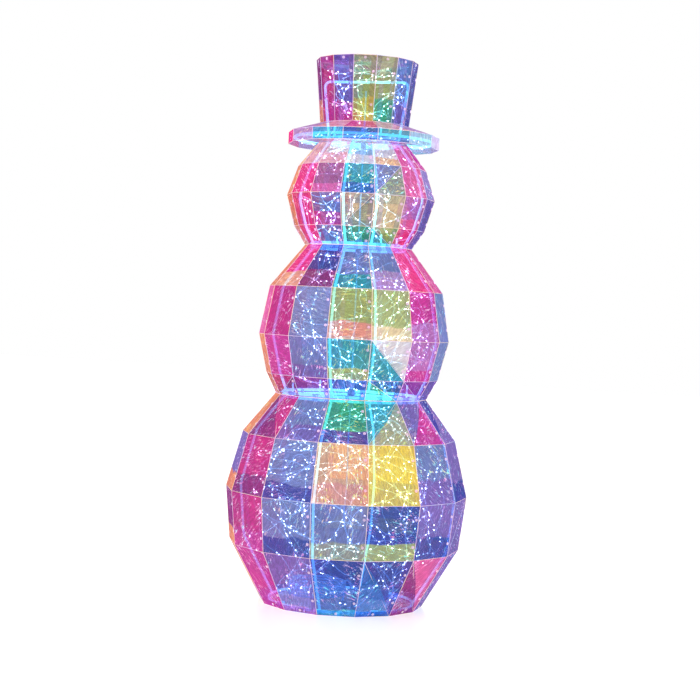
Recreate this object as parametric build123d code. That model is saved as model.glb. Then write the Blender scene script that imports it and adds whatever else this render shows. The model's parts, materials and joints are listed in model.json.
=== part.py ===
from build123d import *
import os
from math import atan2, cos, hypot, pi, radians, sin

# A free-standing snowman lantern. Three faceted balls and a top hat stack on one another. Each has a
# skin of clear iridescent film gores, riveted along their seams round a welded wire frame, and holds a
# string of micro lights. A lead on the centre line joins the sections through plugs and sockets.
#
# Millimetres, +Z up, origin at the centre of the base on the floor, front towards -Y. Azimuths run
# round +Z from the front towards +X. Seam 0 is at the front, and gores are built centred on +X.

# ---------------------------------------------------------------- driving dimensions
GORES = 14
GORE_ANGLE = 360 / GORES
HALF_GORE = radians(GORE_ANGLE / 2)

# Creases of each skin from the bottom up: radius at the seams, height
LOWER_SKIN = [(180, 0), (255, 130), (268, 247), (236, 371), (167, 459)]
MIDDLE_SKIN = [(167, 459), (190, 503), (211, 589), (192, 696), (118, 790)]
HEAD_SKIN = [(118, 790), (144, 830), (164, 899), (142, 964), (94, 1024)]
CROWN_SKIN = [(98, 1059), (113, 1200)]
BRIM_RADIUS = 167
BRIM_LOW = 1012
BRIM_HIGH = 1038
BRIM_OPENING_RADIUS = 112
SKIN_GAP = 0.3  # each skin stops this far short of the plane it shares with the next one

FILM = 0.5
TAB_WIDTH = 12
TAB_DEPTH = 0.65  # outer face of a tab below the skin's outer face
BEND_WIDTH = 1.5
HEM_DEPTH = 1.35  # outer face of a hem below the skin's outer face
HEM_HEIGHT = 12
BASE_HEM_BORE = 159

RIVET_SHARES = (0.25, 0.75)  # places along a facet
RIVET_INSET = 6
RIVET_SHANK_RADIUS = 1.5
RIVET_HOLE_RADIUS = 1.7
RIVET_HEAD_RADIUS = 3
RIVET_HEAD_HEIGHT = 1
RIVET_PLAY = 0.03

RING_WIRE = 3  # radius of the ring wire
RIB_WIRE = 2.75  # radius of the rib wire
RIBS = 4
RIB_BEND = 55  # radius of the bends in a rib
RING_STANDOFF = 4.2  # ring centre from the end of its skin
BASE_RING = 160
WAIST_RING = 151
NECK_RING = 104
HEAD_TOP_RING = 80
BRIM_RING = 153
RIB_DEPTHS = {"lower": 20, "middle": 22, "head": 21}
HOOP_WIDTH = 97  # half the width of the hat hoop at its top
HOOP_DROP = 44  # hoop top below the top of the crown
HOOP_CORNER = 12
SPOKE_WIRE = 2.1

CLIP_WIDTH = 8
CLIP_HEIGHT = 7.6
CLIP_WALL = 1.2
CLIP_BORE_PLAY = 0.15
CLIP_PLAY = 0.2  # clearance of a clip from a hem rivet
CLIP_DEPTH = 1.1  # face of a clip below the skin's outer face, measured level

PRONG_RADIUS = 2
PRONG_GAP = 0.5
PRONG_LENGTH = 34
PRONG_FOOT = 3
STAKE_EYE_RADIUS = 9
STAKE_HOLE_RADIUS = 4.2
STAKE_EYE_THICKNESS = 3
STAKE_CIRCLE_RADIUS = 149

LEAD_RADIUS = 1.8
PLUG_RADIUS = 6
PLUG_LENGTH = 30
NOSE_RADIUS = 3.5
NOSE_LENGTH = 12
SOCKET_RADIUS = 7.5
SOCKET_LENGTH = 34
SOCKET_BORE_RADIUS = 3.55
SOCKET_BORE_DEPTH = 14
GRIP_RINGS = 3
GRIP_RING = 0.8  # radius of the raised rings round plugs and sockets
GRIP_INSET = 11  # first grip ring from the face where plug and socket meet
GRIP_PITCH = 4

LED_WIRE_RADIUS = 0.5
LED_RADIUS = 1.6
LED_GAP = 0.05  # clearance of a light drop from its wire
LED_SHARE = 0.78  # radius of a light string over the skin's radius at the same height
STRING_STEPS = 12  # points in one turn of a light string
SPREAD_TURNS = 0.4  # part of a turn in which a string leaves the lead
UNLIT_POINTS = 6  # points at the start of a string that carry no light
BRIM_STRING_RADIUS = 132
BRIM_STRING_WAVE = 9
BRIM_STRING_STEPS = 48

COIL_CENTRE = (-50, -20)
COIL_RADIUS = 62
COIL_LOW = 14
COIL_PITCH = 6
COIL_TURNS = 6
COIL_STEPS = 12  # points in one turn of the coil
TAIL_OFFSETS = [(14, -54, -2), (6, -26, -1)]  # free end of the cable, from the start of the coil
CABLE_RADIUS = 2.2
TIE_WIDTH = 8
TIE_WALL = 1.2
TIE_PLAY = 1.3
SUPPLY_RADIUS = 8
SUPPLY_SLEEVE = 16
SUPPLY_BODY = 24
SUPPLY_NOSE = 10
SUPPLY_PIN_RADIUS = 0.8
SUPPLY_PIN_SPACING = 4

BOX_LENGTH = 64
BOX_WIDTH = 40
BOX_CENTRE = (55, 78)
BOX_FLOOR = 0.8
TRAY_HEIGHT = 14
COVER_HEIGHT = 9
BOX_WALL = 2
BOX_CORNER = 5
COVER_GAP = 0.1
BOARD_THICKNESS = 1.6
BOARD_INSET = 4
CHIP_SIZE = (12, 9, 3.2)
SWITCH_SIZE = (6, 6, 4.8)
BUTTON_RADIUS = 5
BUTTON_OFFSET = 10  # button from the middle of the box
BUTTON_TRAVEL = 1.2
BUTTON_RISE = 2  # top of the button above the cover
BUTTON_COLLAR = 1
SCREW_RADIUS = 1.4
SCREW_HEAD_RADIUS = 2.7
SCREW_HEAD_HEIGHT = 1.7
SCREW_INSET = 6
SCREW_POST_RADIUS = 3

REACH = 400  # longer than any plan radius
TOTAL_HEIGHT = CROWN_SKIN[-1][1]
TURN = 2 * pi


# ---------------------------------------------------------------- small helpers
def at_azimuth(azimuth):
    """Rotation that carries +X to an azimuth."""
    return Rot(0, 0, azimuth - 90)


def gore_azimuths():
    return [(number + 0.5) * GORE_ANGLE for number in range(GORES)]


def quarter_azimuths(start):
    return [start + 90 * number for number in range(RIBS)]


def seam_polygon(corner_radius, height):
    """Flat face with one corner on every seam."""
    return Pos(0, 0, height) * RegularPolygon(corner_radius, GORES, rotation=90)


def polygon_frustum(low_radius, low, high_radius, high):
    return loft([seam_polygon(low_radius, low), seam_polygon(high_radius, high)])


def plan_block(points):
    """Upright block over a plan outline, taller than the object at both ends."""
    return Pos(0, 0, -1) * extrude(make_face(Polyline(*points, close=True)), TOTAL_HEIGHT + 2)


def tube(points, radius):
    """Round wire or cable along a smooth line through the points."""
    path = Spline(*points)
    return sweep(Plane(origin=path @ 0, z_dir=path % 0) * Circle(radius), path=path)


def kinked_wire(points, radius):
    """Thin wire in straight lengths from point to point, mitred at every bend."""
    path = Polyline(*points)
    section = Plane(origin=path @ 0, z_dir=path % 0) * Circle(radius)
    return sweep(section, path=path, transition=Transition.RIGHT)


def bent_rod(points, bend_radius, radius):
    """Round rod in straight lengths joined by arcs."""
    path = FilletPolyline(*points, radius=bend_radius)
    return sweep(Plane(origin=path @ 0, z_dir=path % 0) * Circle(radius), path=path)


def ring(radius, height, wire_radius):
    return Pos(0, 0, height) * Torus(radius, wire_radius)


def upright(radius, low, high):
    """Round bar on the centre line between two heights."""
    return Pos(0, 0, (low + high) / 2) * Cylinder(radius, high - low)


def radius_at(skin, height):
    """Seam radius of a skin at a height."""
    for (low_radius, low), (high_radius, high) in zip(skin, skin[1:]):
        if low <= height <= high:
            return low_radius + (high_radius - low_radius) * (height - low) / (high - low)
    raise ValueError(height)


# ---------------------------------------------------------------- film skins
def trimmed(skin):
    """The skin's creases with both ends drawn in by the gap to its neighbours."""
    low = skin[0][1] + (SKIN_GAP if skin[0][1] > 0 else 0)
    high = skin[-1][1] - (SKIN_GAP if skin[-1][1] < TOTAL_HEIGHT else 0)
    return [(radius_at(skin, low), low)] + skin[1:-1] + [(radius_at(skin, high), high)]


def inset(line, depth):
    """A rising line of points moved inwards by depth, its two ends kept at their heights."""
    sides = []
    for (r0, z0), (r1, z1) in zip(line, line[1:]):
        length = hypot(r1 - r0, z1 - z0)
        moved = (r0 - depth * (z1 - z0) / length, z0 + depth * (r1 - r0) / length)
        sides.append((moved[0], moved[1], (r1 - r0) / (z1 - z0)))
    points = [on_side(sides[0], line[0][1])]
    for (ra, za, sa), (rb, zb, sb) in zip(sides, sides[1:]):
        points.append(on_side((ra, za, sa), (rb - ra + sa * za - sb * zb) / (sa - sb)))
    points.append(on_side(sides[-1], line[-1][1]))
    return points


def on_side(side, height):
    """Point of a sloping side at a height; a side is a radius, its height and the radius gained per mm."""
    radius, start, slope = side
    return (radius + slope * (height - start), height)


def film_layer(skin, outer_depth, inner_depth):
    """Folded bar across +X that fills one gore's skin between two depths below its outer face."""
    line = [(radius * cos(HALF_GORE), height) for radius, height in trimmed(skin)]
    outline = inset(line, outer_depth) + inset(line, inner_depth)[::-1]
    face = Plane.XZ * make_face(Polyline(*outline, close=True))
    widest = max(radius for radius, height in skin) * sin(HALF_GORE)
    return extrude(face, widest + TAB_WIDTH, both=True)


def seam_strip(side, width):
    """Plan strip of the given width along one seam of a gore centred on +X; side is -1 or 1."""
    along = Vector(cos(HALF_GORE), side * sin(HALF_GORE))
    across = Vector(sin(HALF_GORE), -side * cos(HALF_GORE)) * width
    corners = [Vector(0, 0), along * REACH, along * REACH + across, across]
    return plan_block([(corner.X, corner.Y) for corner in corners])


def seam_spots(skin):
    """Planes of the seam rivets of a gore centred on +X, with Z out of the film."""
    spots = []
    for (r0, z0), (r1, z1) in zip(skin, skin[1:]):
        outward = Vector(z1 - z0, 0, (r0 - r1) * cos(HALF_GORE))
        for share in RIVET_SHARES:
            radius = r0 + share * (r1 - r0)
            across = radius * sin(HALF_GORE) - RIVET_INSET
            centre = Vector(radius * cos(HALF_GORE), across, z0 + share * (z1 - z0))
            spots.append(Plane(origin=centre, z_dir=outward))
    return spots


def hem_spot(skin, height):
    """Plane of a hem rivet in the middle of a facet, with Z out of the film."""
    for (r0, z0), (r1, z1) in zip(skin, skin[1:]):
        if z0 <= height <= z1:
            outward = Vector(z1 - z0, 0, (r0 - r1) * cos(HALF_GORE))
            centre = Vector(radius_at(skin, height) * cos(HALF_GORE), 0, height)
            return Plane(origin=centre, z_dir=outward)
    raise ValueError(height)


def foot_lean(skin):
    """Angle of a skin's lowest facets from upright."""
    (r0, z0), (r1, z1) = skin[:2]
    return atan2((r1 - r0) * cos(HALF_GORE), z1 - z0)


def drill(spots):
    return [spot.location * Cylinder(RIVET_HOLE_RADIUS, 8) for spot in spots]


def film_gore(skin, hem_spots=()):
    """One gore centred on +X: its panel, and a tab that bends over one seam to lie under its neighbour."""
    wedge_seams = [(REACH * cos(HALF_GORE), side * REACH * sin(HALF_GORE)) for side in (-1, 1)]
    wedge = plan_block([(0, 0)] + wedge_seams)
    panel = film_layer(skin, 0, FILM) & wedge
    bend = film_layer(skin, FILM, TAB_DEPTH + FILM) & wedge & seam_strip(-1, BEND_WIDTH)
    tab = film_layer(skin, TAB_DEPTH, TAB_DEPTH + FILM) & seam_strip(1, TAB_WIDTH)
    holes = drill(seam_spots(skin))
    neighbour = Rot(0, 0, -GORE_ANGLE)
    return (panel - holes - drill(hem_spots)) + bend + neighbour * (tab - holes)


def rivet(grip):
    """Snap rivet along Z: head above the film's outer face at zero, cap below the grip."""
    head = Pos(0, 0, RIVET_PLAY + RIVET_HEAD_HEIGHT / 2) * Cylinder(RIVET_HEAD_RADIUS, RIVET_HEAD_HEIGHT)
    cap_middle = -grip - RIVET_PLAY - RIVET_HEAD_HEIGHT / 2
    cap = Pos(0, 0, cap_middle) * Cylinder(RIVET_HEAD_RADIUS, RIVET_HEAD_HEIGHT)
    return head + upright(RIVET_SHANK_RADIUS, cap_middle, RIVET_HEAD_HEIGHT / 2) + cap


def rivets(spots, grip):
    pattern = [spot.location * rivet(grip) for spot in spots]
    return [at_azimuth(azimuth) * one for azimuth in gore_azimuths() for one in pattern]


def round_gores(piece):
    return [at_azimuth(azimuth) * piece for azimuth in gore_azimuths()]


def hem_radius(skin, height, depth):
    """Seam radius of a hem wall at a height, lying a depth below the skin's outer face."""
    return radius_at(skin, height) - depth / cos(HALF_GORE)


def hem_wall(skin, low, high):
    """Short upstand of film just inside a skin between two heights."""
    faces = [HEM_DEPTH, HEM_DEPTH + FILM]
    outer, inner = [
        polygon_frustum(hem_radius(skin, low, depth), low, hem_radius(skin, high, depth), high)
        for depth in faces
    ]
    return outer - inner


def base_hem():
    """Film that turns in under the lower ball: a flat margin on the floor and a riveted upstand."""
    margin = extrude(seam_polygon(hem_radius(LOWER_SKIN, 0, HEM_DEPTH), 0), FILM)
    wall = hem_wall(LOWER_SKIN, 0, HEM_HEIGHT)
    holes = [at_azimuth(a) * hole for a in gore_azimuths() for hole in drill(BASE_HEM_SPOTS)]
    return (margin - upright(BASE_HEM_BORE, -1, 1)) + wall - holes


def crown_lid():
    """Flat film on top of the hat with a riveted turn-down inside the crown."""
    top = TOTAL_HEIGHT
    plate = extrude(seam_polygon(hem_radius(CROWN_SKIN, top, HEM_DEPTH + 0.1), top), -FILM)
    wall = hem_wall(CROWN_SKIN, top - HEM_HEIGHT, top)
    holes = [at_azimuth(a) * hole for a in gore_azimuths() for hole in drill(LID_SPOTS)]
    return plate + wall - holes


# ---------------------------------------------------------------- wire frames
def wire_frame(skin, low_ring, high_ring, rib_depth):
    """Two rings and four ribs that bow out between them, each rib welded into both rings."""
    rings = [ring(*low_ring, RING_WIRE), ring(*high_ring, RING_WIRE)]
    bow = [(radius - rib_depth, 0, height) for radius, height in skin[1:-1]]
    points = [(low_ring[0], 0, low_ring[1])] + bow + [(high_ring[0], 0, high_ring[1])]
    rib = bent_rod(points, RIB_BEND, RIB_WIRE) - rings[0] - rings[1]
    return rings[0], rings[1], [at_azimuth(azimuth) * rib for azimuth in quarter_azimuths(0)]


def film_clips(skin, ring_place, open_side, depth=CLIP_DEPTH):
    """Moulded snap clips that carry the skin on a ring, one on every gore that no rib crosses. They are open
    below (-1) or above (1), and stop at a depth below the skin's outer face."""
    radius, height = ring_place
    low = height - (RING_WIRE if open_side < 0 else CLIP_HEIGHT / 2)
    high = height + (RING_WIRE if open_side > 0 else CLIP_HEIGHT / 2)
    facet = [(radius_at(skin, level) * cos(HALF_GORE) - depth, level) for level in (low, high)]
    back = radius - RING_WIRE - CLIP_WALL
    face = Plane.XZ * make_face(Polyline((back, low), facet[0], facet[1], (back, high), close=True))
    bore = Plane.XZ * Pos(radius, height) * Circle(RING_WIRE + CLIP_BORE_PLAY)
    clip = extrude(face - bore, CLIP_WIDTH / 2, both=True)
    crossed = [90, 270]
    return [at_azimuth(a) * clip for a in gore_azimuths() if round(a) not in crossed]


def prongs(ring_place):
    """Upright pins welded inside a top ring, which centre the next section's bottom ring."""
    radius, height = ring_place
    centre = radius - RING_WIRE - PRONG_GAP - PRONG_RADIUS
    pin = Pos(centre, 0, height + PRONG_LENGTH / 2 - PRONG_FOOT) * Cylinder(PRONG_RADIUS, PRONG_LENGTH)
    foot = Pos((centre + radius) / 2, 0, height) * Box(radius - centre, PRONG_FOOT, PRONG_FOOT)
    prong = pin + foot - ring(radius, height, RING_WIRE)
    return [at_azimuth(azimuth) * prong for azimuth in quarter_azimuths(45)]


def stake_eyes():
    """Flat eyelets welded inside the base ring for ground stakes."""
    middle = BASE_RING_PLACE[1]
    eye = Cylinder(STAKE_EYE_RADIUS, STAKE_EYE_THICKNESS) - Cylinder(STAKE_HOLE_RADIUS, STAKE_EYE_THICKNESS)
    placed = Pos(STAKE_CIRCLE_RADIUS, 0, middle) * eye - ring(*BASE_RING_PLACE, RING_WIRE)
    return [at_azimuth(azimuth) * placed for azimuth in quarter_azimuths(45)]


# ---------------------------------------------------------------- lights and leads
def string_points(skin, high, low, turns, share=LED_SHARE):
    """Falling spiral of a light string: it leaves the lead and widens to run inside the ribs."""
    steps = turns * STRING_STEPS
    start = LEAD_RADIUS + 2 * LED_WIRE_RADIUS
    points = []
    for step in range(steps + 1):
        height = high + (low - high) * step / steps
        spread = min(1, step / STRING_STEPS / SPREAD_TURNS)
        eased = spread * spread * (3 - 2 * spread)
        radius = start + (radius_at(skin, height) * share - start) * eased
        turn = TURN * step / STRING_STEPS
        points.append((radius * sin(turn), -radius * cos(turn), height))
    return points


def lights(points, every):
    """Resin drops on the outside of a light string, one at every so many of its points."""
    drops = []
    for x, y, z in points[UNLIT_POINTS::every]:
        radius = hypot(x, y)
        out = (radius + LED_RADIUS + LED_WIRE_RADIUS + LED_GAP) / radius
        drops.append(Pos(x * out, y * out, z) * Sphere(LED_RADIUS))
    return drops


def grip_rings(radius, height, side):
    """Raised rings round a plug below the given height, or round a socket above it."""
    heights = [height + side * (GRIP_INSET + GRIP_PITCH * number) for number in range(GRIP_RINGS)]
    return [ring(radius, place, GRIP_RING) for place in heights]


def plug(height):
    """Plug on the centre line whose nose enters the socket above the given height."""
    body = upright(PLUG_RADIUS, height - PLUG_LENGTH, height - SKIN_GAP)
    return body + upright(NOSE_RADIUS, height - 1, height + NOSE_LENGTH) + grip_rings(PLUG_RADIUS, height, -1)


def socket(height):
    """Socket on the centre line with its bore opening downwards at the given height."""
    body = upright(SOCKET_RADIUS, height, height + SOCKET_LENGTH)
    bore = upright(SOCKET_BORE_RADIUS, height - 1, height + SOCKET_BORE_DEPTH)
    return body + grip_rings(SOCKET_RADIUS, height, 1) - bore


def lower_lead(top):
    """Cable from the controller that rises over the coil and hangs on the centre line."""
    x, y = BOX_CENTRE
    gland = (x + BOX_LENGTH / 2, y, GLAND_HEIGHT)
    rise = [(x + 48, y - 8, 22), (x + 40, y - 22, 52), (x, y - 38, 92), (18, 12, 128)]
    straight = [(0, 0, height) for height in (175, 240, 320, top)]
    return tube([gland] + rise + straight, LEAD_RADIUS)


def coil_points():
    """Helix of spare cable between its free end and its run to the controller's gland."""
    steps = COIL_TURNS * COIL_STEPS
    start = (COIL_CENTRE[0] + COIL_RADIUS, COIL_CENTRE[1], COIL_LOW)
    points = [(start[0] + x, start[1] + y, start[2] + z) for x, y, z in TAIL_OFFSETS]
    for step in range(steps + 1):
        turn = TURN * step / COIL_STEPS
        x = COIL_CENTRE[0] + COIL_RADIUS * cos(turn)
        y = COIL_CENTRE[1] + COIL_RADIUS * sin(turn)
        points.append((x, y, COIL_LOW + COIL_PITCH * step / COIL_STEPS))
    gland_x = BOX_CENTRE[0] - BOX_LENGTH / 2
    end = points[-1]
    run = [(end[0] + 2, end[1] + 26, end[2] - 2), (end[0] - 1, end[1] + 62, 30)]
    entry = [(gland_x - 14, BOX_CENTRE[1] - 2, GLAND_HEIGHT + 2), (gland_x, BOX_CENTRE[1], GLAND_HEIGHT)]
    return points + run + entry


def coil_tie():
    """Band round all the turns of the coil, on its far side."""
    rise = COIL_PITCH * COIL_TURNS
    middle = COIL_LOW + rise / 2
    width = 2 * (CABLE_RADIUS + TIE_PLAY)
    inner = Box(width, TIE_WIDTH, rise + width)
    outer = Box(width + 2 * TIE_WALL, TIE_WIDTH, rise + width + 2 * TIE_WALL)
    return Pos(COIL_CENTRE[0] - COIL_RADIUS, COIL_CENTRE[1], middle) * (outer - inner)


def supply_plug():
    """Round low-voltage plug on the free end of the cable, pointing to the front."""
    cable = Spline(*coil_points())
    facing = Plane(origin=cable @ 0, z_dir=-(cable % 0))
    sleeve = Pos(0, 0, SUPPLY_SLEEVE / 2) * Cone(CABLE_RADIUS + 1, SUPPLY_RADIUS - 0.5, SUPPLY_SLEEVE)
    face = SUPPLY_SLEEVE + SUPPLY_BODY
    tip = face + SUPPLY_NOSE
    body = upright(SUPPLY_RADIUS, SUPPLY_SLEEVE, face)
    nose = upright(SUPPLY_RADIUS - 1.5, face, tip) - upright(SUPPLY_RADIUS - 2.8, face, tip)
    pin = upright(SUPPLY_PIN_RADIUS, face - 1, tip - 2)
    pins = [Pos(side * SUPPLY_PIN_SPACING / 2, 0) * pin for side in (-1, 1)]
    return facing.location * (sleeve + body + nose + pins)


def in_box(piece):
    return Pos(BOX_CENTRE[0], BOX_CENTRE[1], BOX_FLOOR) * piece


def box_shell(height, wall_top):
    """Rounded box with one open side; wall_top puts its closed wall at the top."""
    outer = extrude(RectangleRounded(BOX_LENGTH, BOX_WIDTH, BOX_CORNER), height)
    inner_size = (BOX_LENGTH - 2 * BOX_WALL, BOX_WIDTH - 2 * BOX_WALL)
    inner_face = RectangleRounded(*inner_size, BOX_CORNER - BOX_WALL)
    inner = extrude(inner_face, height - BOX_WALL)
    return outer - Pos(0, 0, 0 if wall_top else BOX_WALL) * inner


def screw_places():
    x, y = BOX_LENGTH / 2 - SCREW_INSET, BOX_WIDTH / 2 - SCREW_INSET
    return [(x, y), (-x, y), (-x, -y), (x, -y)]


def controller_tray():
    """Lower half of the controller box: screw posts, board rests and a gland at each end."""
    tray = box_shell(TRAY_HEIGHT, False)
    gland_bore = Rot(0, 90, 0) * Cylinder(CABLE_RADIUS + 0.3, BOX_LENGTH + 2)
    for x, y in screw_places():
        tray += Pos(x, y) * upright(SCREW_POST_RADIUS, 0, TRAY_HEIGHT)
        tray -= Pos(x, y) * upright(SCREW_RADIUS + 0.05, SCREW_HOLE_FOOT, TRAY_HEIGHT + 1)
    return in_box(tray - Pos(0, 0, GLAND_HEIGHT - BOX_FLOOR) * gland_bore)


def controller_board():
    """Circuit board cut round the screw posts, with its chip and a tall switch under the button."""
    board = Box(BOX_LENGTH - 2 * BOARD_INSET, BOX_WIDTH - 2 * BOARD_INSET, BOARD_THICKNESS)
    for x, y in screw_places():
        board -= Pos(x, y) * Box(4 * SCREW_POST_RADIUS, 4 * SCREW_POST_RADIUS, 2 * BOARD_THICKNESS)
    chip = Pos(-BUTTON_OFFSET, 0, CHIP_SIZE[2] / 2) * Box(*CHIP_SIZE)
    switch_body = Pos(BUTTON_OFFSET, 0, SWITCH_SIZE[2] / 2) * Box(*SWITCH_SIZE)
    return in_box(Pos(0, 0, BOARD_HEIGHT) * (board + chip + switch_body))


def controller_cover():
    """Upper half of the controller box with the button's hole and four countersunk screw holes."""
    cover = Pos(0, 0, TRAY_HEIGHT + COVER_GAP) * box_shell(COVER_HEIGHT, True)
    cover -= Pos(BUTTON_OFFSET, 0) * upright(BUTTON_RADIUS + 0.1, COVER_TOP - 2 * BOX_WALL, COVER_TOP + 1)
    for x, y in screw_places():
        post = upright(SCREW_POST_RADIUS, TRAY_HEIGHT + COVER_GAP, COVER_TOP - COVER_GAP)
        bore = upright(SCREW_RADIUS + 0.2, TRAY_HEIGHT - 1, COVER_TOP + 1)
        head_room = upright(SCREW_HEAD_RADIUS + 0.2, SCREW_SEAT - 0.1, COVER_TOP + 1)
        cover = cover + Pos(x, y) * post - Pos(x, y) * (bore + head_room)
    return in_box(cover)


def controller_button():
    """Round button with a collar that keeps it in the cover, standing above the switch."""
    collar_top = COVER_TOP - BOX_WALL
    stem = upright(BUTTON_RADIUS, collar_top - BUTTON_COLLAR, COVER_TOP + BUTTON_RISE)
    collar = upright(BUTTON_RADIUS + BUTTON_COLLAR, collar_top - 1.5 * BUTTON_COLLAR, collar_top)
    foot = upright(BUTTON_RADIUS / 2, SWITCH_TOP + BUTTON_TRAVEL + 0.1, collar_top)
    return in_box(Pos(BUTTON_OFFSET, 0) * (stem + collar + foot))


def controller_screws():
    """Four self-tapping screws down through the cover into the tray's posts."""
    top = SCREW_SEAT + SCREW_HEAD_HEIGHT
    slot = Pos(0, 0, top) * Box(1.5 * SCREW_HEAD_RADIUS, 0.8, 1.2)
    head = upright(SCREW_HEAD_RADIUS, SCREW_SEAT, top) - slot
    screw = head + upright(SCREW_RADIUS, SCREW_HOLE_FOOT + 1, SCREW_SEAT)
    return [in_box(Pos(x, y) * screw) for x, y in screw_places()]


# ---------------------------------------------------------------- hat
def hat_hoop(top, seat):
    """Upside-down U of wire across the hat, with its feet welded into the hat's seat ring."""
    foot = seat[0]
    corners = [(-foot, 0, seat[1]), (-HOOP_WIDTH, 0, top), (HOOP_WIDTH, 0, top), (foot, 0, seat[1])]
    return bent_rod(corners, HOOP_CORNER, RIB_WIRE) - ring(*seat, RING_WIRE)


def brim_spokes(seat, outer):
    """Four straight wires welded between the seat ring and the brim ring."""
    length = outer[0] - seat[0]
    bar = Pos((seat[0] + outer[0]) / 2, 0, seat[1]) * Rot(0, 90, 0) * Cylinder(SPOKE_WIRE, length)
    spoke = bar - ring(*seat, RING_WIRE) - ring(*outer, RING_WIRE)
    return [at_azimuth(azimuth) * spoke for azimuth in quarter_azimuths(45)]


def brim_edge():
    """Upright band of film folded round the brim."""
    height = BRIM_HIGH - BRIM_LOW
    inside = seam_polygon(BRIM_RADIUS - FILM, BRIM_LOW)
    return extrude(seam_polygon(BRIM_RADIUS, BRIM_LOW) - inside, height)


def brim_top():
    """Shallow cone of film from the brim's edge up to the foot of the crown."""
    foot_radius, foot = CROWN_SKIN[0]
    low = BRIM_HIGH + 0.1
    opening = foot_radius + 1
    outer = polygon_frustum(BRIM_RADIUS, low + FILM, opening, foot + FILM)
    plate = outer - polygon_frustum(BRIM_RADIUS, low, opening, foot)
    return plate - extrude(seam_polygon(opening + 0.2, low - 1), foot - low + 4)


def brim_underside():
    """Flat film under the brim, open in the middle for the top of the head."""
    outline = seam_polygon(BRIM_RADIUS - FILM - 0.2, BRIM_LOW)
    return extrude(outline - seam_polygon(BRIM_OPENING_RADIUS, BRIM_LOW), FILM)


def brim_string_points():
    """Waving line of lights round the inside of the brim, below the spokes."""
    points = []
    for step in range(BRIM_STRING_STEPS - 1):
        turn = TURN * step / BRIM_STRING_STEPS
        radius = BRIM_STRING_RADIUS + BRIM_STRING_WAVE * sin(5 * turn)
        points.append((radius * sin(turn), -radius * cos(turn), BRIM_LOW + 6))
    return points


# ---------------------------------------------------------------- assembly
BASE_HEM_SPOTS = [hem_spot(LOWER_SKIN, HEM_HEIGHT / 2)]
LID_SPOTS = [hem_spot(CROWN_SKIN, TOTAL_HEIGHT - HEM_HEIGHT / 2)]
SEAM_GRIP = TAB_DEPTH + FILM
HEM_GRIP = HEM_DEPTH + FILM
HEM_RIVET_DEPTH = (HEM_GRIP + RIVET_PLAY + RIVET_HEAD_HEIGHT) / cos(foot_lean(LOWER_SKIN))
HEM_CLIP_DEPTH = HEM_RIVET_DEPTH + CLIP_PLAY
BASE_RING_PLACE = (BASE_RING, FILM + RING_WIRE + 1.5)
WAIST, NECK, HEAD_TOP = LOWER_SKIN[-1][1], MIDDLE_SKIN[-1][1], HEAD_SKIN[-1][1]
SEAT_RING_PLACE = (HEAD_TOP_RING, HEAD_TOP - RING_STANDOFF + 2 * RING_WIRE + 0.2)
BRIM_RING_PLACE = (BRIM_RING, SEAT_RING_PLACE[1])
GLAND_HEIGHT = BOX_FLOOR + 6
BOARD_HEIGHT = 10
SWITCH_TOP = BOARD_HEIGHT + SWITCH_SIZE[2]
COVER_TOP = TRAY_HEIGHT + COVER_HEIGHT
SCREW_SEAT = COVER_TOP - SCREW_HEAD_HEIGHT - 0.1
SCREW_HOLE_FOOT = TRAY_HEIGHT - 8

BALLS = {
    "lower": (LOWER_SKIN, BASE_RING_PLACE, (WAIST_RING, WAIST - RING_STANDOFF)),
    "middle": (MIDDLE_SKIN, (WAIST_RING, WAIST + RING_STANDOFF), (NECK_RING, NECK - RING_STANDOFF)),
    "head": (HEAD_SKIN, (NECK_RING, NECK + RING_STANDOFF), (HEAD_TOP_RING, HEAD_TOP - RING_STANDOFF)),
}


def ball_pieces(name):
    """Skin, rivets, frame and clips of one ball, by node name."""
    skin, low_ring, high_ring = BALLS[name]
    hem_spots = BASE_HEM_SPOTS if name == "lower" else []
    low_depth = HEM_CLIP_DEPTH if name == "lower" else CLIP_DEPTH
    bottom, top, ribs = wire_frame(skin, low_ring, high_ring, RIB_DEPTHS[name])
    return {
        f"{name}_film_gores": round_gores(film_gore(skin, hem_spots)),
        f"{name}_rivets": rivets(seam_spots(skin), SEAM_GRIP) + rivets(hem_spots, HEM_GRIP),
        f"{name}_bottom_ring": [bottom],
        f"{name}_top_ring": [top],
        f"{name}_ribs": ribs,
        f"{name}_film_clips": film_clips(skin, low_ring, -1, low_depth) + film_clips(skin, high_ring, 1),
    }


def light_pieces(name, points, every):
    wire = kinked_wire(points, LED_WIRE_RADIUS)
    return {f"{name}_light_wire": [wire], f"{name}_lights": lights(points, every)}


def lower_pieces():
    plug_foot = WAIST - PLUG_LENGTH
    return {
        **ball_pieces("lower"),
        "base_hem": [base_hem()],
        "ground_stake_eyes": stake_eyes(),
        "waist_prongs": prongs(BALLS["lower"][2]),
        **light_pieces("lower", string_points(LOWER_SKIN, 405, 70, 8), 2),
        "lower_lead": [lower_lead(plug_foot)],
        "waist_plug": [plug(WAIST)],
        "supply_cable": [tube(coil_points(), CABLE_RADIUS)],
        "cable_tie": [coil_tie()],
        "supply_plug": [supply_plug()],
        "controller_tray": [controller_tray()],
        "controller_board": [controller_board()],
        "controller_cover": [controller_cover()],
        "controller_screws": controller_screws(),
        "controller_button": [controller_button()],
    }


def middle_pieces():
    return {
        **ball_pieces("middle"),
        "neck_prongs": prongs(BALLS["middle"][2]),
        **light_pieces("middle", string_points(MIDDLE_SKIN, 735, 515, 6), 2),
        "waist_socket": [socket(WAIST)],
        "middle_lead": [upright(LEAD_RADIUS, WAIST + SOCKET_LENGTH, NECK - PLUG_LENGTH)],
        "neck_plug": [plug(NECK)],
    }


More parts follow.
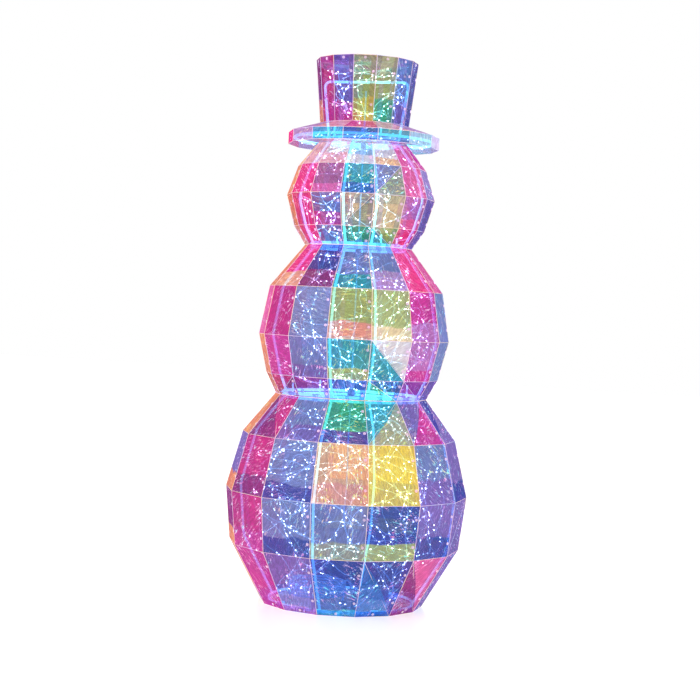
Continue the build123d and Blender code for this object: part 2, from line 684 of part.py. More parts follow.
def head_pieces():
    return {
        **ball_pieces("head"),
        "hat_prongs": prongs(BALLS["head"][2]),
        **light_pieces("head", string_points(HEAD_SKIN, 975, 840, 5), 2),
        "neck_socket": [socket(NECK)],
        "head_lead": [upright(LEAD_RADIUS, NECK + SOCKET_LENGTH, HEAD_TOP - PLUG_LENGTH)],
        "hat_plug": [plug(HEAD_TOP)],
    }


def hat_pieces():
    crown_points = string_points(CROWN_SKIN, 1130, 1066, 3, 0.62)
    lead_top = HEAD_TOP + SOCKET_LENGTH + 78
    brim_points = brim_string_points()
    return {
        "crown_film_gores": round_gores(film_gore(CROWN_SKIN, LID_SPOTS)),
        "crown_rivets": rivets(seam_spots(CROWN_SKIN), SEAM_GRIP) + rivets(LID_SPOTS, HEM_GRIP),
        "crown_lid": [crown_lid()],
        "brim_edge_film": [brim_edge()],
        "brim_top_film": [brim_top()],
        "brim_underside_film": [brim_underside()],
        "hat_seat_ring": [ring(*SEAT_RING_PLACE, RING_WIRE)],
        "brim_ring": [ring(*BRIM_RING_PLACE, RING_WIRE)],
        "brim_spokes": brim_spokes(SEAT_RING_PLACE, BRIM_RING_PLACE),
        "hat_hoop": [hat_hoop(TOTAL_HEIGHT - HOOP_DROP, SEAT_RING_PLACE)],
        "hat_light_wire": [kinked_wire(points, LED_WIRE_RADIUS) for points in (crown_points, brim_points)],
        "hat_lights": lights(crown_points, 2) + lights(brim_points, 2),
        "hat_lead": [upright(LEAD_RADIUS, HEAD_TOP + SOCKET_LENGTH, lead_top)],
        "hat_socket": [socket(HEAD_TOP)],
    }


os.makedirs("parts", exist_ok=True)
for pieces in (lower_pieces(), middle_pieces(), head_pieces(), hat_pieces()):
    for node, shapes in pieces.items():
        solids = [solid for shape in shapes for solid in shape.solids()]
        export_step(Compound(children=solids), f"parts/{node}.step")
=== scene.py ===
import json
import math
import random

import bpy
from mathutils import Matrix, Vector, noise


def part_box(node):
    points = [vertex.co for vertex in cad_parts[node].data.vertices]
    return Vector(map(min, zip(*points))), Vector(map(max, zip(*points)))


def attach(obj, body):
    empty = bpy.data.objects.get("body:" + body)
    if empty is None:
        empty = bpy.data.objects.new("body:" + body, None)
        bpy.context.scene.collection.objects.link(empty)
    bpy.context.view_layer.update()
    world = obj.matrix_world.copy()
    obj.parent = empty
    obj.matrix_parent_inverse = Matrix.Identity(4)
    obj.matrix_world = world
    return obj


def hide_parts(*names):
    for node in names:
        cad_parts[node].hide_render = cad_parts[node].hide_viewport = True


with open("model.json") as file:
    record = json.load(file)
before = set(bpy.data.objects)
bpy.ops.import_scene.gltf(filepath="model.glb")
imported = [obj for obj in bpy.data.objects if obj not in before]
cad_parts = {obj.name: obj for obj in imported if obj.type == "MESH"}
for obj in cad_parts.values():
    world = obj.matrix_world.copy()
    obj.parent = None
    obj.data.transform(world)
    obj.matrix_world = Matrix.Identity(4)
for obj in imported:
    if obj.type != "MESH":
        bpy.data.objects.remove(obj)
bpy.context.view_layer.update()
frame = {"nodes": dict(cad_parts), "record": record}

# A lit snowman of iridescent film panels over a wire frame. Everything is in metres. Gore 0 is the film
# panel just right of the front seam, and gores run round +Z from the front (-Y) towards +X.

MM = 0.001
GORES = 14
GORE_TURN = math.tau / GORES
SECTIONS = ("lower", "middle", "head")


# ------------------------------------------------------------------ colours
def linear(red, green, blue):
    """Screen colour from 0 to 1 turned into the renderer's linear colour."""
    return tuple(c / 12.92 if c <= 0.04045 else ((c + 0.055) / 1.055) ** 2.4 for c in (red, green, blue))


TINTS = {
    "orange": linear(0.96, 0.58, 0.46),
    "coral": linear(1.00, 0.70, 0.62),
    "peach": linear(1.00, 0.78, 0.60),
    "gold": linear(0.97, 0.86, 0.28),
    "tan": linear(0.96, 0.86, 0.68),
    "olive": linear(0.72, 0.76, 0.46),
    "grey_olive": linear(0.68, 0.70, 0.62),
    "green": linear(0.14, 0.70, 0.50),
    "teal": linear(0.00, 0.66, 0.74),
    "cyan": linear(0.12, 0.68, 0.90),
    "deep_blue": linear(0.02, 0.42, 0.78),
    "pale_blue": linear(0.72, 0.87, 0.98),
    "slate": linear(0.49, 0.55, 0.80),
    "navy": linear(0.12, 0.28, 0.68),
    "indigo": linear(0.22, 0.26, 0.66),
    "violet": linear(0.52, 0.43, 0.76),
    "purple": linear(0.64, 0.26, 0.70),
    "plum": linear(0.60, 0.14, 0.52),
    "magenta": linear(0.86, 0.24, 0.66),
    "crimson": linear(0.84, 0.08, 0.56),
    "hot_pink": linear(1.00, 0.24, 0.60),
    "pink": linear(0.97, 0.44, 0.70),
    "mauve": linear(0.80, 0.48, 0.80),
    "pale_pink": linear(1.00, 0.74, 0.80),
    "lilac": linear(0.80, 0.62, 0.86),
    "pale_lilac": linear(0.84, 0.78, 0.94),
    "pearl": linear(0.97, 0.93, 0.95),
}

# Tints of the seven gores that face the front, left to right, one line per level from the bottom up.
# In "a/b" the upper part of a panel is a and its lower part is b.
FRONT_LOOKS = {
    "lower": [
        "coral magenta violet/mauve navy/cyan indigo/deep_blue pink/plum violet",
        "plum/orange crimson/magenta slate/navy slate/grey_olive navy/olive violet/navy violet",
        "violet/orange crimson/plum slate/indigo peach/coral gold slate/violet violet/indigo",
        "orange crimson/plum slate/violet green/indigo teal/grey_olive violet/magenta indigo/violet",
    ],
    "middle": [
        "orange crimson/plum purple/violet deep_blue deep_blue/green purple violet",
        "orange magenta slate/violet teal/olive pearl/teal mauve/magenta slate",
        "pink crimson slate olive/coral olive/tan magenta/mauve slate",
        "orange hot_pink/coral indigo/plum slate/teal slate/lilac hot_pink crimson",
    ],
    "head": [
        "coral hot_pink slate green/teal olive/teal hot_pink violet",
        "orange hot_pink slate/magenta tan/grey_olive tan mauve/pink violet",
        "orange hot_pink plum/magenta teal/deep_blue slate/grey_olive pink violet",
        "peach pale_pink pearl/pale_pink pale_blue/pearl pearl/peach pink magenta",
    ],
    "crown": ["plum/orange crimson/magenta violet/magenta olive/gold olive/green slate/violet indigo"],
    "brim_edge": ["hot_pink lilac cyan deep_blue teal/deep_blue pale_blue pale_lilac"],
    "brim_top": ["pink lilac pale_pink pink pale_pink lilac pale_lilac"],
    "brim_underside": ["pale_lilac pale_lilac pale_pink pearl pale_lilac pale_blue pale_lilac"],
}
RIM_TINTS = ("orange", "hot_pink", "magenta", "violet", "purple")
CENTRE_TINTS = ("slate", "teal", "indigo", "cyan", "olive", "deep_blue", "violet", "gold", "slate", "coral")

# Panels folded along a diagonal: "/" rises to the right seen from outside. Keys are section, level, gore.
FOLDS = {
    ("lower", 0, 1): "\\",
    ("lower", 0, 2): "\\",
    ("lower", 3, 1): "/",
    ("lower", 3, 2): "/",
    ("lower", 3, 12): "\\",
    ("middle", 0, 1): "\\",
    ("middle", 0, 2): "\\",
    ("middle", 0, 12): "/",
    ("middle", 1, 1): "\\",
    ("head", 0, 1): "\\",
    ("head", 2, 1): "/",
    ("head", 1, 0): "/",
}
BACK_GORES = range(3, 11)
BACK_FOLD_SHARE = 0.2


# ------------------------------------------------------------------ places read from the frame
def around(radius, turn, height):
    """Point at a radius, a turn in radians from the front towards +X, and a height."""
    return Vector((radius * math.sin(turn), -radius * math.cos(turn), height))


LEVEL_GAP = 4 * MM  # vertices closer in height than this belong to one crease
ON_SEAM = 0.0005  # how far from a seam a vertex on it may be, in gores


def crease_levels(node):
    """Seam radius and height of every crease of a CAD film skin, from the bottom up."""
    on_seams = []
    for vertex in frame["nodes"][node].data.vertices:
        x, y, z = vertex.co
        gore = math.atan2(x, -y) / GORE_TURN
        if abs(gore - round(gore)) < ON_SEAM:
            on_seams.append((z, math.hypot(x, y)))
    levels = []
    for height, radius in sorted(on_seams):
        if levels and height - levels[-1][1] < LEVEL_GAP:
            if radius > levels[-1][0]:
                levels[-1] = (radius, height)
        else:
            levels.append((radius, height))
    return levels


def radius_at(levels, height):
    """Seam radius of a skin at a height, held at its ends."""
    height = min(max(height, levels[0][1]), levels[-1][1])
    for (r0, z0), (r1, z1) in zip(levels, levels[1:]):
        if height <= z1:
            return r0 + (r1 - r0) * (height - z0) / (z1 - z0)
    return levels[-1][0]


SKINS = {name: crease_levels(f"{name}_film_gores") for name in SECTIONS + ("crown",)}
BRIM_LOW_CORNER, BRIM_HIGH_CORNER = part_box("brim_edge_film")
BRIM_RADIUS = BRIM_HIGH_CORNER.y
BRIM_LOW = BRIM_LOW_CORNER.z
BRIM_HIGH = BRIM_HIGH_CORNER.z
BODIES = {name: f"{name}_section" for name in SECTIONS}
BODIES["crown"] = "hat_section"


# ------------------------------------------------------------------ node helpers
class Tree:
    """Short way to write a material's nodes."""

    def __init__(self, name):
        self.material = bpy.data.materials.new(name)
        self.material.use_nodes = True
        self.nodes = self.material.node_tree.nodes
        self.links = self.material.node_tree.links
        self.nodes.clear()
        self.output = self.add("ShaderNodeOutputMaterial")

    def add(self, kind, **settings):
        node = self.nodes.new(kind)
        for key, value in settings.items():
            setattr(node, key, value)
        return node

    def join(self, source, target):
        """Links a socket, or sets a plain value, on a target socket."""
        if isinstance(source, bpy.types.NodeSocket):
            self.links.new(source, target)
        elif target.type == "RGBA" and len(source) == 3:
            target.default_value = (*source, 1.0)
        else:
            target.default_value = source

    def math(self, operation, *values, clamp=False):
        node = self.add("ShaderNodeMath", operation=operation, use_clamp=clamp)
        for place, value in enumerate(values):
            self.join(value, node.inputs[place])
        return node.outputs[0]

    def vector(self, operation, *values):
        node = self.add("ShaderNodeVectorMath", operation=operation)
        for place, value in enumerate(values):
            self.join(value, node.inputs[place])
        return node.outputs["Value" if operation == "DOT_PRODUCT" else "Vector"]

    def mix(self, share, first, second):
        node = self.add("ShaderNodeMix", data_type="RGBA")
        self.join(share, node.inputs[0])
        self.join(first, node.inputs[6])
        self.join(second, node.inputs[7])
        return node.outputs[2]

    def band(self, value, low, high):
        """Smooth rise from 0 to 1 as a value goes from low to high."""
        node = self.add("ShaderNodeMapRange", interpolation_type="SMOOTHSTEP")
        self.join(value, node.inputs["Value"])
        self.join(low, node.inputs["From Min"])
        self.join(high, node.inputs["From Max"])
        return node.outputs["Result"]

    def noise(self, vector, scale, detail=2.0, roughness=0.5):
        node = self.add("ShaderNodeTexNoise")
        node.inputs["Scale"].default_value = scale
        node.inputs["Detail"].default_value = detail
        node.inputs["Roughness"].default_value = roughness
        self.join(vector, node.inputs["Vector"])
        return node.outputs["Fac"]

    def ramp(self, value, *stops):
        node = self.add("ShaderNodeValToRGB")
        points = node.color_ramp.elements
        while len(points) < len(stops):
            points.new(0.5)
        for point, (place, colour) in zip(points, stops):
            point.position = place
            point.color = (*colour, 1.0)
        self.join(value, node.inputs[0])
        return node.outputs[0]

    def attribute(self, name, output="Color"):
        return self.add("ShaderNodeAttribute", attribute_name=name).outputs[output]

    def uv(self, name):
        return self.add("ShaderNodeUVMap", uv_map=name).outputs[0]

    def bump(self, height, strength, distance):
        node = self.add("ShaderNodeBump")
        node.inputs["Strength"].default_value = strength
        node.inputs["Distance"].default_value = distance
        self.join(height, node.inputs["Height"])
        return node.outputs[0]

    def principled(self, **values):
        node = self.add("ShaderNodeBsdfPrincipled")
        for key, value in values.items():
            self.join(value, node.inputs[key.replace("_", " ")])
        return node

    def mix_shader(self, share, first, second):
        node = self.add("ShaderNodeMixShader")
        self.join(share, node.inputs[0])
        self.links.new(first, node.inputs[1])
        self.links.new(second, node.inputs[2])
        return node.outputs[0]

    def finish(self, shader):
        self.links.new(shader, self.output.inputs["Surface"])
        return self.material


# ------------------------------------------------------------------ materials
# Colours of the film's sparkle, partly its own pattern and partly painted glints of the lights.
GLINT_FLECK_GOLD = linear(1.0, 0.86, 0.36)
GLINT_FLECK_LIME = linear(0.66, 0.96, 0.46)
GLINT_FLECK_AQUA = linear(0.50, 0.95, 1.0)
GLINT_FLECK_ROSE = linear(1.0, 0.60, 0.80)
GLINT_FLECK_PEARL = linear(0.94, 0.88, 1.0)


def film_material():
    """Dichroic film: its tint turns from a panel's own colour head on to a warm or violet rim, it shows
    what is behind through the same tint, and fine stretched sparkle covers it, partly its own pattern and
    partly painted glints of the lights; its emission is a painted glow of the lights inside it."""
    tree = Tree("iridescent_film")
    geometry = tree.add("ShaderNodeNewGeometry")
    level = (1.0, 1.0, 0.0)
    normal = tree.vector("NORMALIZE", tree.vector("MULTIPLY", geometry.outputs["Normal"], level))
    view = tree.vector("NORMALIZE", tree.vector("MULTIPLY", geometry.outputs["Incoming"], level))
    facing = tree.math("ABSOLUTE", tree.vector("DOT_PRODUCT", normal, view))
    head_on = tree.band(facing, 0.72, 0.82)

    place = tree.uv("panel")
    flat = tree.uv("flat")
    split = tree.add("ShaderNodeSeparateColor")
    tree.join(tree.attribute("look"), split.inputs[0])
    u_and_v = tree.add("ShaderNodeSeparateXYZ")
    tree.join(place, u_and_v.inputs[0])
    waver = tree.math("MULTIPLY", tree.math("SUBTRACT", tree.noise(flat, 18.0), 0.5), 0.22)
    rise = tree.math("ADD", u_and_v.outputs["Y"], waver)
    edge = split.outputs[0]
    upper = tree.band(rise, tree.math("SUBTRACT", edge, 0.02), tree.math("ADD", edge, 0.02))
    centre_tint = tree.mix(upper, tree.attribute("centre_low"), tree.attribute("centre_high"))
    rim_tint = tree.mix(upper, tree.attribute("rim_low"), tree.attribute("rim_high"))
    tint = tree.mix(head_on, rim_tint, centre_tint)

    shift = tree.add("ShaderNodeHueSaturation")
    wander = tree.noise(flat, 9.0, 3.0)
    stretched = tree.vector("MULTIPLY", flat, (1.0, 3.6, 1.0))
    streaks = tree.noise(stretched, 62.0, 3.0, 0.6)
    tree.join(tree.math("ADD", 0.475, tree.math("MULTIPLY", wander, 0.05)), shift.inputs["Hue"])
    shift.inputs["Saturation"].default_value = 1.05
    shade = tree.math("ADD", tree.math("MULTIPLY", wander, 0.6), tree.math("MULTIPLY", streaks, 1.2))
    tree.join(shade, shift.inputs["Value"])
    tree.join(tint, shift.inputs["Color"])
    tint = shift.outputs[0]

    # Sparkle, partly the film's own pattern and partly painted glints of the lights; it adds emission and
    # cover.
    clumps = tree.band(tree.noise(flat, 24.0, 2.0), 0.40, 0.60)
    dashes = tree.math("MULTIPLY", tree.band(streaks, 0.56, 0.63), clumps)
    specks = tree.math("MULTIPLY", tree.band(tree.noise(stretched, 240.0, 1.0), 0.62, 0.70), clumps)
    glint_flecks = tree.math("MULTIPLY", tree.math("MAXIMUM", dashes, specks), split.outputs[1])
    glint_pick = tree.noise(flat, 60.0, 1.0)
    warm_flecks = tree.ramp(glint_pick, (0.40, GLINT_FLECK_GOLD), (0.52, GLINT_FLECK_LIME), (0.62, GLINT_FLECK_AQUA))
    cool_flecks = tree.ramp(glint_pick, (0.40, GLINT_FLECK_ROSE), (0.52, GLINT_FLECK_PEARL), (0.62, GLINT_FLECK_AQUA))
    channels = tree.add("ShaderNodeSeparateColor")
    tree.join(tint, channels.inputs[0])
    glint_tint = tree.mix(tree.band(channels.outputs["Green"], 0.14, 0.34), cool_flecks, warm_flecks)
    glow_tint = tree.mix(tree.math("MULTIPLY", glint_flecks, 0.9), tint, glint_tint)
    wrinkles = tree.noise(stretched, 30.0, 4.0, 0.6)
    bent = tree.bump(wrinkles, 0.5, 0.0020)
    # Emission is a painted glow of the lights inside the film, stronger on the painted glints.
    tinted = tree.principled(
        Base_Color=tree.mix(0.7, glow_tint, (0.0, 0.0, 0.0)),
        Roughness=0.5,
        Emission_Color=glow_tint,
        Emission_Strength=tree.math("ADD", 0.62, tree.math("MULTIPLY", glint_flecks, 0.5)),
        Specular_IOR_Level=0.0,
        Normal=bent,
    )
    gloss = tree.add("ShaderNodeBsdfGlossy")
    for name, value in (("Color", linear(0.94, 0.90, 1.0)), ("Roughness", 0.14), ("Normal", bent)):
        tree.join(value, gloss.inputs[name])
    body = tree.mix_shader(0.06, tinted.outputs[0], gloss.outputs[0])
    inward = tree.vector("DOT_PRODUCT", geometry.outputs["Normal"], geometry.outputs["Position"])
    outside = tree.band(inward, -0.001, 0.001)
    clear = tree.add("ShaderNodeBsdfTransparent")
    haze = tree.mix(outside, (0.72, 0.72, 0.76), (0.60, 0.60, 0.64))
    tree.join(tree.mix(0.65, haze, tint), clear.inputs[0])
    turned_away = tree.math("MULTIPLY", tree.math("SUBTRACT", 1.0, facing), 0.45)
    cover = tree.math("ADD", tree.math("MULTIPLY", glint_flecks, 0.25), split.outputs[2])
    cover = tree.math("ADD", cover, turned_away, clamp=True)
    cover = tree.math("MULTIPLY", cover, tree.math("ADD", 0.5, tree.math("MULTIPLY", outside, 0.5)))
    film = tree.mix_shader(cover, clear.outputs[0], body)
    through = tree.add("ShaderNodeBsdfTransparent")
    return tree.finish(tree.mix_shader(geometry.outputs["Backfacing"], film, through.outputs[0]))


def edge_highlight_material():
    """Folded edge of the film with a painted highlight along it, pearl to rose and pale gold along its
    length, glowing from its emission.
    """
    tree = Tree("film_edge")
    position = tree.add("ShaderNodeNewGeometry").outputs["Position"]
    pick = tree.noise(position, 9.0, 2.0)
    tint = tree.ramp(
        pick,
        (0.36, linear(0.80, 0.86, 1.0)),
        (0.46, linear(1.0, 0.84, 0.92)),
        (0.56, linear(1.0, 0.90, 0.74)),
        (0.66, linear(0.94, 0.80, 0.98)),
    )
    # Emission paints the highlight of the folded edge.
    body = tree.principled(Base_Color=tint, Roughness=0.2, Emission_Color=tint, Emission_Strength=0.22)
    clear = tree.add("ShaderNodeBsdfTransparent")
    return tree.finish(tree.mix_shader(0.7, clear.outputs[0], body.outputs[0]))


def tab_material():
    """Second layer of film along a seam, nearly clear with a pearl tint and a painted glow from its emission.
    """
    tree = Tree("film_tab")
    geometry = tree.add("ShaderNodeNewGeometry")
    pick = tree.noise(geometry.outputs["Position"], 14.0, 3.0)
    tint = tree.ramp(
        pick,
        (0.35, linear(0.96, 0.84, 0.74)),
        (0.50, linear(0.88, 0.78, 0.95)),
        (0.65, linear(0.72, 0.90, 0.96)),
    )
    body = tree.principled(Base_Color=tint, Roughness=0.15, Emission_Color=tint, Emission_Strength=0.35)
    clear = tree.add("ShaderNodeBsdfTransparent")
    tree.join(tint, clear.inputs[0])
    film = tree.mix_shader(0.30, clear.outputs[0], body.outputs[0])
    through = tree.add("ShaderNodeBsdfTransparent")
    return tree.finish(tree.mix_shader(geometry.outputs["Backfacing"], film, through.outputs[0]))


def sheet_material(name, *tints):
    """Flat film without seams, in broad soft patches of the given tints, fine pearl streaks that are partly
    its sparkle and partly painted glints, and a painted glow from its emission.
    """
    tree = Tree(name)
    geometry = tree.add("ShaderNodeNewGeometry")
    position = geometry.outputs["Position"]
    stops = [(0.36 + 0.28 * place / (len(tints) - 1), TINTS[tint]) for place, tint in enumerate(tints)]
    patches = tree.ramp(tree.noise(position, 11.0, 2.0), *stops)
    streaks = tree.noise(tree.vector("MULTIPLY", position, (1.0, 3.6, 1.0)), 70.0, 3.0)
    # Pearl streaks: partly the film's sparkle, partly painted glints of the lights.
    tint = tree.mix(tree.band(streaks, 0.52, 0.66), patches, GLINT_FLECK_PEARL)
    body = tree.principled(Base_Color=tint, Roughness=0.2, Emission_Color=tint, Emission_Strength=0.4)
    clear = tree.add("ShaderNodeBsdfTransparent")
    tree.join(tint, clear.inputs[0])
    film = tree.mix_shader(0.45, clear.outputs[0], body.outputs[0])
    through = tree.add("ShaderNodeBsdfTransparent")
    return tree.finish(tree.mix_shader(geometry.outputs["Backfacing"], film, through.outputs[0]))


def light_material():
    """Lit resin drop: white at its middle, cool blue at its rim."""
    tree = Tree("light_resin")
    facing = tree.add("ShaderNodeLayerWeight")
    facing.inputs["Blend"].default_value = 0.45
    tint = tree.ramp(
        facing.outputs["Facing"],
        (0.0, (1.0, 1.0, 1.0)),
        (0.55, linear(0.86, 0.96, 1.0)),
        (1.0, linear(0.60, 0.86, 1.0)),
    )
    position = tree.add("ShaderNodeNewGeometry").outputs["Position"]
    lit = tree.band(tree.noise(position, 70.0, 1.0), 0.42, 0.58)
    strength = tree.math("ADD", 2.0, tree.math("MULTIPLY", lit, 30.0))
    body = tree.principled(Base_Color=tint, Roughness=0.1, Emission_Color=tint, Emission_Strength=strength)
    material = tree.finish(body.outputs[0])
    material.cycles.emission_sampling = "NONE"
    return material


def wire_material(name, tint, glow, inner_glow=0.0, metallic=0.0, roughness=0.25, grain=900.0):
    """Painted or bare wire with a fine uneven coat and a painted glow from its emission, stronger where it is
    seen through film.
    """
    tree = Tree(name)
    # Where the wire is seen through film its painted glow is made stronger.
    behind_film = tree.math("GREATER_THAN", tree.add("ShaderNodeLightPath").outputs["Transparent Depth"], 0.5)
    position = tree.add("ShaderNodeNewGeometry").outputs["Position"]
    coat = tree.noise(position, grain, 3.0)
    patch = tree.noise(position, 26.0, 2.0)
    shade = tree.mix(tree.math("MULTIPLY", patch, 0.35), tint, tuple(c * 0.72 for c in tint))
    body = tree.principled(
        Base_Color=shade,
        Metallic=metallic,
        Roughness=tree.math("ADD", roughness, tree.math("MULTIPLY", coat, 0.12)),
        Emission_Color=shade,
        Emission_Strength=tree.math("ADD", glow, tree.math("MULTIPLY", behind_film, inner_glow)),
        Normal=tree.bump(coat, 0.15, 0.0002),
    )
    return tree.finish(body.outputs[0])


def moulded_material(name, tint, roughness, glow=0.0, grain=1400.0):
    """Moulded plastic or rubber with a fine grain, slightly worn tone and, where glow is given, a faint
    painted glow from its emission.
    """
    tree = Tree(name)
    position = tree.add("ShaderNodeNewGeometry").outputs["Position"]
    fine = tree.noise(position, grain, 2.0)
    broad = tree.noise(position, 60.0, 2.0)
    shade = tree.mix(tree.math("MULTIPLY", broad, 0.3), tint, tuple(c * 0.8 for c in tint))
    body = tree.principled(
        Base_Color=shade,
        Roughness=tree.math("ADD", roughness - 0.05, tree.math("MULTIPLY", fine, 0.1)),
        Emission_Color=shade,
        Emission_Strength=glow,
        Normal=tree.bump(fine, 0.2, 0.0001),
    )
    return tree.finish(body.outputs[0])


def clear_material(name, tint, cover):
    """Clear moulded plastic: see-through face on, more solid towards its rounded rim, with a painted glow
    from its emission that makes the rim brighter.
    """
    tree = Tree(name)
    position = tree.add("ShaderNodeNewGeometry").outputs["Position"]
    fine = tree.noise(position, 900.0, 2.0)
    rim = tree.add("ShaderNodeLayerWeight")
    rim.inputs["Blend"].default_value = 0.35
    body = tree.principled(
        Base_Color=tint,
        Roughness=tree.math("ADD", 0.08, tree.math("MULTIPLY", fine, 0.1)),
        Emission_Color=tint,
        Emission_Strength=0.3,
        Normal=tree.bump(fine, 0.2, 0.0001),
    )
    clear = tree.add("ShaderNodeBsdfTransparent")
    tree.join(tint, clear.inputs[0])
    shown = tree.math("ADD", cover, tree.math("MULTIPLY", rim.outputs["Facing"], 0.6), clamp=True)
    return tree.finish(tree.mix_shader(shown, clear.outputs[0], body.outputs[0]))


def board_material():
    """Green solder mask with a fine pattern of tracks."""
    tree = Tree("circuit_board")
    position = tree.add("ShaderNodeNewGeometry").outputs["Position"]
    bricks = tree.add("ShaderNodeTexBrick", offset=0.5)
    bricks.inputs["Scale"].default_value = 160.0
    bricks.inputs["Color1"].default_value = (*linear(0.10, 0.42, 0.26), 1.0)
    bricks.inputs["Color2"].default_value = (*linear(0.07, 0.34, 0.20), 1.0)
    bricks.inputs["Mortar"].default_value = (*linear(0.30, 0.60, 0.36), 1.0)
    bricks.inputs["Mortar Size"].default_value = 0.04
    tree.join(position, bricks.inputs["Vector"])
    return tree.finish(tree.principled(Base_Color=bricks.outputs[0], Roughness=0.35).outputs[0])


FILM = film_material()
EDGE_HIGHLIGHT = edge_highlight_material()
TAB = tab_material()
LIGHT = light_material()
# Glow numbers below are painted glow from emission; for wires and cable the second one is added where they
# are seen through film.
SILVER = wire_material("silver_wire", linear(0.66, 0.88, 1.0), 0.4, 3.0, metallic=0.6, roughness=0.2)
SLOT_MATERIALS = {
    "frame_paint": wire_material("frame_paint", linear(0.50, 0.84, 0.98), 0.15, 4.2),
    "clear_rivet": clear_material("clear_rivet", linear(0.97, 0.88, 0.96), 0.3),
    "clear_clip": clear_material("clear_clip", linear(0.90, 0.93, 0.99), 0.04),
    "clear_cable": wire_material("clear_cable", linear(0.52, 0.76, 0.98), 0.1, 0.9, roughness=0.15),
    "connector": moulded_material("connector", linear(0.78, 0.80, 0.92), 0.35, 0.1),
    "tie": moulded_material("tie", linear(0.85, 0.86, 0.94), 0.4, 0.1),
    "controller_case": moulded_material("controller_case", linear(0.74, 0.76, 0.86), 0.45, 0.1),
    "button": moulded_material("button", linear(0.30, 0.33, 0.40), 0.6),
    "screw_steel": wire_material("screw_steel", linear(0.75, 0.75, 0.78), 0.0, metallic=1.0, roughness=0.3),
    "circuit_board": board_material(),
    "iridescent_film": FILM,
    "silver_wire": SILVER,
    "light_resin": LIGHT,
}


SHEETS = {
    "crown_lid": sheet_material("lid_film", "violet", "mauve", "pale_blue", "teal"),
    "base_hem": sheet_material("hem_film", "violet", "cyan", "deep_blue", "lilac"),
}


def dress_frame():
    """Gives every CAD node the material of its slot, and the two flat sheets of film their own."""
    slots = {part["node"]: part["material_slot"] for part in frame["record"]["subparts"]}
    for node, thing in frame["nodes"].items():
        thing.data.materials.clear()
        thing.data.materials.append(SHEETS.get(node) or SLOT_MATERIALS[slots[node]])


# ------------------------------------------------------------------ mesh helpers
def make_object(name, vertices, faces, material, smooth=True):
    mesh = bpy.data.meshes.new(name)
    mesh.from_pydata(vertices, [], faces)
    mesh.materials.append(material)
    for polygon in mesh.polygons:
        polygon.use_smooth = smooth
    thing = bpy.data.objects.new(name, mesh)
    bpy.context.scene.collection.objects.link(thing)
    return thing


def rod(vertices, faces, start, end, radius, sides=6):
    """Adds a capped straight rod to a mesh being made."""
    first = len(vertices)
    along = (end - start).normalized()
    across = along.orthogonal().normalized()
    third = along.cross(across)
    for centre in (start, end):
        for side in range(sides):
            turn = math.tau * side / sides
            vertices.append(centre + radius * (across * math.cos(turn) + third * math.sin(turn)))
    for side in range(sides):
        after = (side + 1) % sides
        faces.append((first + side, first + after, first + sides + after, first + sides + side))
    faces.append(tuple(first + side for side in reversed(range(sides))))
    faces.append(tuple(first + sides + side for side in range(sides)))


def drop(vertices, faces, centre, along, length, radius, rings=4, sides=8):
    """Adds a long resin drop to a mesh being made."""
    first = len(vertices)
    along = along.normalized()
    across = along.orthogonal().normalized()
    third = along.cross(across)
    vertices.append(centre - along * length / 2)
    for ring in range(1, rings):
        bend = math.pi * ring / rings
        reach = radius * math.sin(bend)
        shift = -math.cos(bend) * length / 2
        for side in range(sides):
            turn = math.tau * side / sides
            offset = across * math.cos(turn) + third * math.sin(turn)
            vertices.append(centre + along * shift + offset * reach)
    vertices.append(centre + along * length / 2)
    last = len(vertices) - 1
    for side in range(sides):
        after = (side + 1) % sides
        faces.append((first, first + 1 + after, first + 1 + side))
        for ring in range(rings - 2):
            low = first + 1 + ring * sides
            faces.append((low + side, low + after, low + sides + after, low + sides + side))
        top = first + 1 + (rings - 2) * sides
        faces.append((top + side, top + after, last))


# ------------------------------------------------------------------ film panels
PANEL_STEPS = 8
FILM_THICKNESS = 0.45 * MM
TAB_WIDTH = 12 * MM
TAB_BELOW = 0.75 * MM
FOLD_DEPTH = 3.0 * MM
FOLD_ANGLE = math.radians(2.5)
HEM_SHARE = 0.11  # part of the lowest panels that the hem shows through
SPLIT_RANGE = (0.26, 0.42)  # share of a two-tone panel's height that has the lower tint
NO_SPLIT = -1.0
# Range of each panel's share of sparkle and painted glints.
GLINT_FLECK_RANGE = (0.45, 1.0)
RIPPLE = 1.2 * MM
FOLD_SHARPNESS = 2.5


def look_of(section, level, gore, draw):
    """Tints of one panel: its own look head on and its look at the rim, each with a high and a low part."""
    front_place = (gore + 3) % GORES
    place = min(front_place, GORES - 1 - front_place)
    high, _, low = FRONT_LOOKS[section][level].split()[place].partition("/")
    painted = (high, low or high)
    near_front = 2 <= place <= 4
    own = painted if near_front else (draw.choice(CENTRE_TINTS), draw.choice(CENTRE_TINTS))
    rim = (draw.choice(RIM_TINTS), draw.choice(RIM_TINTS)) if near_front else painted
    if section.startswith("brim"):
        own = rim = painted
    return own, rim


